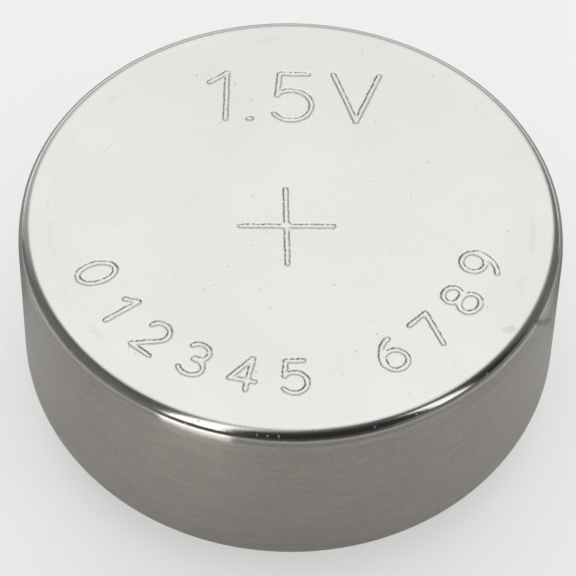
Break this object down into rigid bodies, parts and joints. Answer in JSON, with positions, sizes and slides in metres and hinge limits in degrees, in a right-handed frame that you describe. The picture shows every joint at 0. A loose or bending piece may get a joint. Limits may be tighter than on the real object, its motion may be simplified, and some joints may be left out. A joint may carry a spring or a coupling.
{
  "type": "alkaline button cell",
  "caption": "Round alkaline button cell: a nickel-plated can with a flat marked positive face, crimped over a seal and a stepped negative cap, with its electrodes and separator inside",
  "frame": {"origin": "centre of the negative face, at the bottom of the cell as it rests on its negative cap", "axes": "+Z is the cell's axis of symmetry, from the negative face up to the positive face, and the shortest extent; -Y is towards the viewer who reads the marking upright"},
  "size_m": [0.0116, 0.0116, 0.0054],
  "materials": {
    "can_nickel": "satin nickel plating on drawn steel, fine drawing lines round the side",
    "seal_nylon": "natural nylon, slightly translucent, with a film of sealant",
    "cap_nickel": "bright nickel plating, faintly circular grain",
    "zinc_gel": "grey zinc powder in a damp gel",
    "absorbent_felt": "off-white fibrous felt",
    "barrier_film": "thin smooth translucent film",
    "manganese_pellet": "pressed black powder, matt and finely grained"
  },
  "bodies": {
    "root": {"positive_can": "can_nickel", "sealing_gasket": "seal_nylon", "negative_cap": "cap_nickel", "anode_gel": "zinc_gel", "absorbent_disc": "absorbent_felt", "barrier_disc": "barrier_film", "cathode_pellet": "manganese_pellet"}
  },
  "joints": []
}
